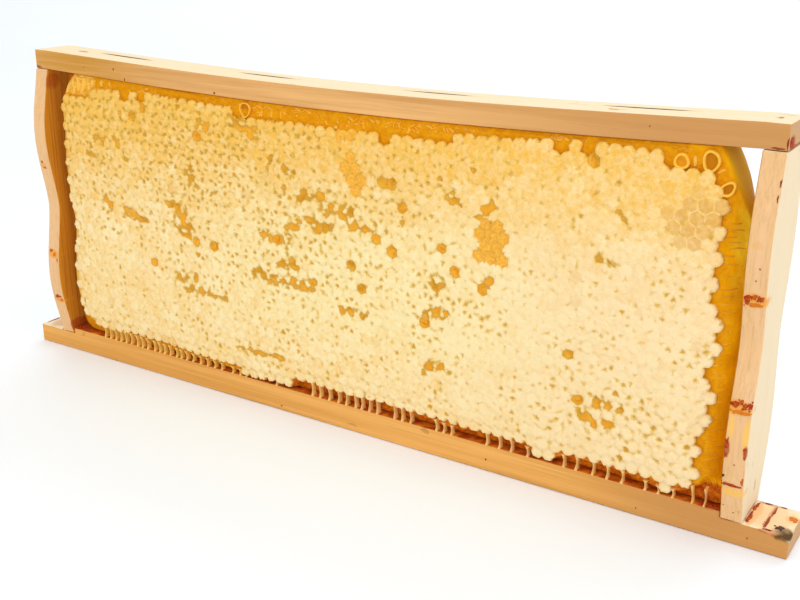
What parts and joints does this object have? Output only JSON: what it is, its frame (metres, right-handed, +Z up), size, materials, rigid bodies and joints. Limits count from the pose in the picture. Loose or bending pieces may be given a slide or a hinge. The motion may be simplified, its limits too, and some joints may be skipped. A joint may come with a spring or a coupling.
{
  "type": "honeycomb in a wooden hive frame",
  "caption": "Shallow wooden hive frame filled with capped honeycomb, standing upside down on its lug bar.",
  "frame": {"origin": "middle of the footprint, on the surface the lug bar stands on", "axes": "+X along the lug bar, +Y from the comb's front face to its back, +Z up"},
  "size_m": [0.403, 0.033, 0.159],
  "materials": {
    "frame_wood": "bare planed softwood with fine grain, stained by propolis in places",
    "comb": "pale uneven wax cappings with a soft sheen",
    "honey": "wet amber honey and translucent wax walls",
    "propolis": "sticky red-brown bee resin"
  },
  "bodies": {
    "root": {"comb": "comb", "lug_bar": "frame_wood", "upper_bar": "frame_wood", "side_bar_left": "frame_wood", "side_bar_right": "frame_wood"}
  },
  "joints": []
}
